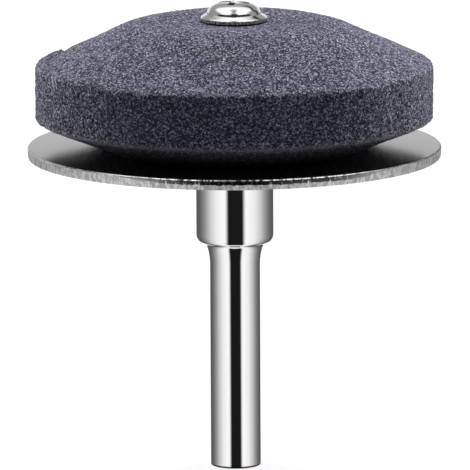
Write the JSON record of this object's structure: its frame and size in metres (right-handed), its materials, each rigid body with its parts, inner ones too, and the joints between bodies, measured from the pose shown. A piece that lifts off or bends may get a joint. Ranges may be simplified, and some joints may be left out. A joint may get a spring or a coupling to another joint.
{
  "type": "drill sharpening disc",
  "caption": "Rotary blade sharpener for a drill: conical grinding stone over a flat steel guide disc, screwed to a stepped cylindrical shank.",
  "frame": {"origin": "centre of the shank's end face, where the part stands", "axes": "+Z along the axis of rotation from the shank's end to the clamp screw; X and Y are free, because only the screw's cross recess isn't round"},
  "size_m": [0.052, 0.052, 0.0591],
  "materials": {
    "shank_chrome": "polished, mirror bright",
    "plate_steel": "matt rolled faces, burnished and torn punched edge",
    "stone_abrasive": "rough fine-grained fired abrasive with light and dark grains",
    "screw_plated": "bright plated, slightly soft"
  },
  "bodies": {
    "root": {"shank": "shank_chrome", "guide_plate": "plate_steel", "grinding_stone": "stone_abrasive", "clamp_screw": "screw_plated"}
  },
  "joints": []
}
